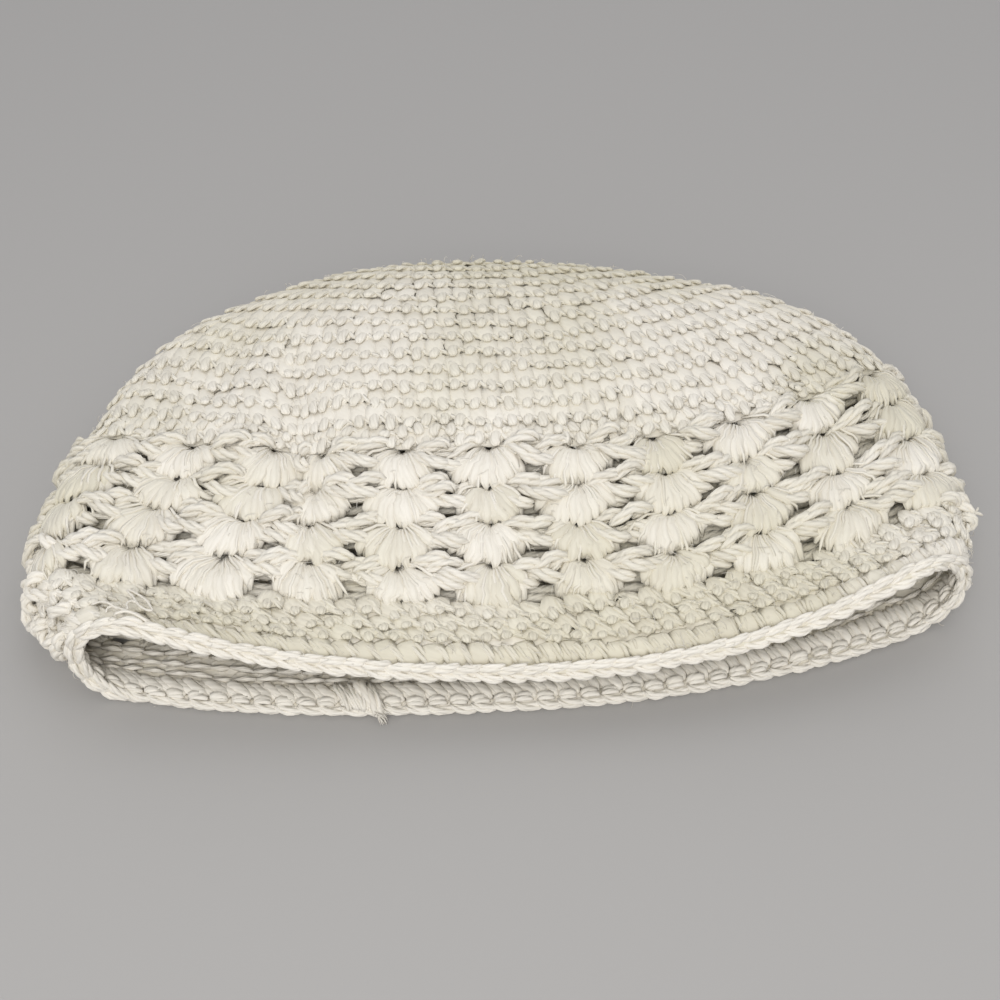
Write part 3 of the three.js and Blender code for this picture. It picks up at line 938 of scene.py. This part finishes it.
def brim_rounds():
    """Three rounds of single crochet under the lace, then a groove and smooth posts, with
    slanted legs behind them on the inside."""
    bundles = []
    shares = FIRST_SHARE + (np.arange(STITCHES_ROUND) + 0.5) * MOUTH_STITCH
    for k in range(len(BRIM_BOUNDS) - 1):
        tall = BRIM_BOUNDS[k] - BRIM_BOUNDS[k + 1]
        # Painted shade over the middle of the top layer, stronger in the rounds nearer the mouth,
        # and painted light at the folds.
        warm = (0.5 + 0.2 * k) * brim_shade_and_light(shares) - 0.1
        bundles += stitches(BRIM_STITCH, shares + 0.3 * k * MOUTH_STITCH, BRIM_BOUNDS[k + 1], tall,
                            MOUTH_STITCH, lean=0.1, warm=warm, rough=2.2 - 0.4 * k)
    for points, radius, flatten, paler, ridge in BRIM_POSTS:
        # The same painted shade and light on the posts and their thin strands.
        warm = brim_shade_and_light(shares) - 0.1 + paler
        bundles.append(repeated(shares, POSTS_LOW, POSTS_TALL, points, 5, radius, flatten,
                                warm=warm, ridge=ridge))
    # The legs on the inside are painted pale, as painted light where the inside lies in shade.
    for across, radius in INNER_LEGS:
        leg = [[across + 0.34, 1.0, -0.3], [across + 0.16, 0.72, -0.95],
               [across - 0.12, 0.3, -1.05], [across - 0.28, 0.0, -0.5]]
        bundles.append(repeated(shares, POSTS_LOW, LEGS_TALL, leg, 5, radius, 0.6,
                                warm=-0.9, ridge=0.2))
    alongs = np.linspace(2.6, 12.6, 9)[:, None]
    bundles.append(thin_lining(LINING_SHARES, alongs, 0.1, -0.35))
    return bundles


# The chain lies along the mouth at this distance, round a core. Two loops of each stitch are
# behind it on the inside, each with its radius, its rise and its distance along.
CHAIN_ALONG = 1.5
CORE = {"along": 0.98, "off": 0.3, "radius": 0.6}
EDGE_LOOPS = ((0.775, 0.30, 1.7), (0.5625, -0.2, 1.4))


def edge_chain():
    """The chain round the mouth, and a row of loops behind it on the inside."""
    places = FIRST_SHARE + np.arange(STITCHES_ROUND) * MOUTH_STITCH
    # The chain is painted paler, as painted light on the brightly lit rim.
    bundles = chain(places, lambda share: CHAIN_ALONG + 0 * share, MOUTH_STITCH, 0.78, tilt=0.95,
                    spread=1.1, warm=-0.8)
    # The loops on the inside are painted pale, as painted light where the inside lies in shade.
    for radius, rise, low in EDGE_LOOPS:
        loop = [[-0.40, 0.0, -0.4], [-0.2, rise, -1.15], [0.2, rise, -1.15], [0.40, 0.0, -0.4]]
        bundles.append(repeated(places, low, 1.0, loop, 6, radius, 0.8, leaf=0.3, lines=4,
                                warm=-0.9, ridge=0.4))
    bundles.append(thin_lining(LINING_SHARES, np.array([0.9, 2.8])[:, None], 0.3, -0.4))
    turn = np.linspace(2 * np.pi, 0, 8, endpoint=False)
    alongs = CORE["along"] + CORE["radius"] * np.cos(turn)[:, None]
    bundles.append(lining(LINING_SHARES, alongs, CORE["off"] + CORE["radius"] * np.sin(turn)))
    return bundles


# The last end of the yarn, which sticks out under the near rim where the edging was closed,
# in the hat's own coordinates. It frays at its tip, into fibres that go on this way.
TAIL = sampled([
    [-26.6, -44.6, 2.6], [-25.9, -45.6, 3.3], [-25.0, -46.8, 3.2], [-24.0, -48.0, 2.6],
    [-23.1, -49.1, 1.9], [-22.4, -49.9, 1.4],
], 12)
FRAYED_FIBRES = 60
FRAYED_WAY = np.array([0.9, -0.9, -0.3])
FRAYED_DROOP = np.array([0, 0, -0.5])

# The threads of the seam above the tail, on the inside: each goes down the wall at its share
# of the way round. Columns: distance along and distance off the wall.
SEAM_SHARES = np.linspace(0.5795, 0.5965, 6)
SEAM_THREAD = sampled([[6.4, -1.1], [4.6, -1.8], [2.4, -1.9], [0.8, -1.5], [0.0, -0.4]], 9)


def yarn_end():
    """The end of yarn with its frayed fibres, and the threads of the seam that it comes from.
    A fibre is a root on the tail and a way ahead, with a bend and a droop as the square of
    the way."""
    upward = np.array([[[0.0, 0.0, 1.0]]])
    tail = TAIL[None]
    bundles = [plied(tail, np.broadcast_to(upward, tail.shape), 1.05, 4, 9.0, sides=6, warm=-0.3)]
    each_fibre = (FRAYED_FIBRES, 1, 3)
    t = np.linspace(0, 1, 5)[None, :, None]
    root = TAIL[-3] + luck.normal(0, 0.45, each_fibre)
    way = FRAYED_WAY + luck.normal(0, 0.45, each_fibre)
    frayed = root + way * t + luck.normal(0, 0.25, each_fibre) * t ** 2 + FRAYED_DROOP * t ** 2
    upright = np.broadcast_to(upward, frayed.shape)
    bundles.append(yarn(frayed, upright, 0.13, 4, warm=-0.3, ridge=0.2))
    along, off = SEAM_THREAD.T
    slant = luck.normal(0, 0.0008, (len(SEAM_SHARES), 1)) * np.linspace(-1, 1, len(along))
    paths, outward = on_wall(SEAM_SHARES[:, None] + slant, along, off)
    bundles.append(plied(paths, outward, 0.62, 3, 14.0, leaf=0.2, warm=-0.4, ridge=0.3))
    return bundles


def curl():
    """A thin thread on the brim near its left fold: it wanders to the right and ends in one
    round loop. Columns: share of the way round, distance along and distance off the wall."""
    t = np.linspace(0, 1, 9)[:-1]
    run = [0.7905 + 0.017 * t, 3.0 + 2.8 * t + 0.8 * np.sin(9 * t), 1.6 + t]
    turn = np.linspace(1.1, -1.1, 16) * np.pi
    loop = [0.8112 + 0.0034 * np.cos(turn), 6.6 + 2.1 * np.sin(turn), 2.6 + 0 * turn]
    return np.concatenate([run, loop], axis=1).T


def stray(start, end, waves, off):
    """A short thread between two places on the wall, which waves up and down on its way by a
    sine that grows and fades. Columns as in curl()."""
    t = np.linspace(0, 1, 12)
    share = start[0] + (end[0] - start[0]) * t
    wave = 0.9 * np.sin(2 * np.pi * waves * t) * t * (1.6 - t)
    along = start[1] + (end[1] - start[1]) * t + wave
    return np.stack([share, along, off * np.sin(np.pi * (0.25 + 0.6 * t))], axis=-1)


# Loose ends of yarn: the curl and the threads beside it, and a tuft at the right fold. Each
# with its stops and its radius.
LOOSE_ENDS = (
    (curl(), 46, 0.21),
    (stray((0.7925, 2.4), (0.8110, 2.6), 1.1, 2.4), 18, 0.26),
    (stray((0.7870, 5.2), (0.7990, 4.2), 0.9, 2.2), 14, 0.17),
    (stray((0.7990, 3.2), (0.8080, 1.4), 0.6, 2.4), 12, 0.15),
    (([0.2360, 10.4, 0.7], [0.2380, 10.8, 1.9], [0.2392, 11.3, 3.0], [0.2412, 11.0, 3.9]), 8, 0.30),
    (([0.2368, 10.9, 0.7], [0.2378, 11.4, 1.8], [0.2404, 11.6, 2.8], [0.2408, 12.1, 3.6]), 8, 0.24),
)


def loose_ends():
    """The loose ends as strands, one by one, because each has its own number of stops."""
    bundles = []
    for points, stops, radius in LOOSE_ENDS:
        share, along, offset = sampled(points, stops).T
        path, outward = on_wall(share[None], along[None], offset[None])
        bundles.append(yarn(path, outward, radius, 6, lines=3, pitch=4.0, warm=-0.3, ridge=0.4))
    return bundles


brim_knobs = [fold_knobs(LEFT_FOLD, 3, 13, 14), fold_knobs(RIGHT_FOLD, 6, 13, 5)]
brim = brim_rounds() + loose_ends() + brim_knobs + [fuzz(420, 3, BRIM_HEIGHT)]
yarn_piece("brim_rounds", brim, ["brim_band"])
yarn_piece("edge_chain", edge_chain() + yarn_end() + [fuzz(140, 0.5, 3)], ["edge_braid"])


# The floor's half width and its height, in metres, and its two greys.
FLOOR_HALF = 4.0
FLOOR_HEIGHT = -0.2 * MM
FLOOR_GREY = (0.42, 0.41, 0.40, 1)
FLOOR_SHADE = (0.36, 0.35, 0.34, 1)


def pale_floor():
    """Matt grey with faint wide patches."""
    paint = Paint("pale_floor")
    grey = paint.mix(paint.noise(paint.place(), 6.0) * 0.15, FLOOR_GREY, FLOOR_SHADE)
    return paint.finish(Base_Color=grey, Roughness=0.8)


def floor():
    """A wide pale floor, just under the table height."""
    mesh = bpy.data.meshes.new("floor")
    signs = [(-1, -1), (1, -1), (1, 1), (-1, 1)]
    corners = [(x * FLOOR_HALF, y * FLOOR_HALF, FLOOR_HEIGHT) for x, y in signs]
    mesh.from_pydata(corners, [], [(0, 1, 2, 3)])
    mesh.materials.append(pale_floor())
    made = placed("floor", mesh)


# Large square lamps: place, target, size in metres, power in watts and colour.
LAMPS = {
    "key": ((-0.08, -0.63, 0.23), (0, 0, 0.01), 0.34, 0.5, (1.0, 0.99, 0.965)),
    "front": ((-0.06, -0.44, 0.46), (0, 0, 0.01), 0.30, 1.5, (1.0, 0.99, 0.965)),
    "top": ((0.10, 0.16, 0.64), (0, 0, 0), 0.5, 0.65, (0.98, 0.99, 1.0)),
}
SKY_COLOUR = (0.98, 0.98, 1.0, 1)
SKY_STRENGTH = 0.60


def studio():
    """The lamps, each turned to face its target, and an even pale sky."""
    for name, (place, target, size, power, colour) in LAMPS.items():
        lamp = bpy.data.lights.new(name, "AREA")
        lamp.shape = "SQUARE"
        lamp.size = size
        lamp.energy = power
        lamp.color = colour
        made = placed(name, lamp)
        made.location = place
        made.rotation_euler = (Vector(target) - Vector(place)).to_track_quat("-Z", "Y").to_euler()
    world = bpy.data.worlds.new("studio")
    world.use_nodes = True
    background = world.node_tree.nodes["Background"]
    background.inputs["Color"].default_value = SKY_COLOUR
    background.inputs["Strength"].default_value = SKY_STRENGTH
    bpy.context.scene.world = world
    bpy.context.scene.view_settings.view_transform = "Standard"


# The photograph's view: how wide it is, from where round and how high, in degrees, how far
# away, and the point it looks at.
VIEW_WIDTH = 39
VIEW_AZIMUTH = -2
VIEW_ELEVATION = 45
VIEW_DISTANCE = 262 * MM
VIEW_AIM = (-1.0 * MM, -6.7 * MM, 8 * MM)


def camera():
    """The camera, out from its aim by the distance along the view's direction."""
    lens = bpy.data.cameras.new("camera")
    lens.angle = np.radians(VIEW_WIDTH)
    lens.clip_start = 0.005
    azimuth, elevation = np.radians(VIEW_AZIMUTH), np.radians(VIEW_ELEVATION)
    level = np.cos(elevation)
    back = Vector((np.sin(azimuth) * level, -np.cos(azimuth) * level, np.sin(elevation)))
    made = placed("camera", lens)
    made.location = Vector(VIEW_AIM) + back * VIEW_DISTANCE
    made.rotation_euler = (-back).to_track_quat("-Z", "Y").to_euler()
    bpy.context.scene.camera = made


floor()
studio()
camera()
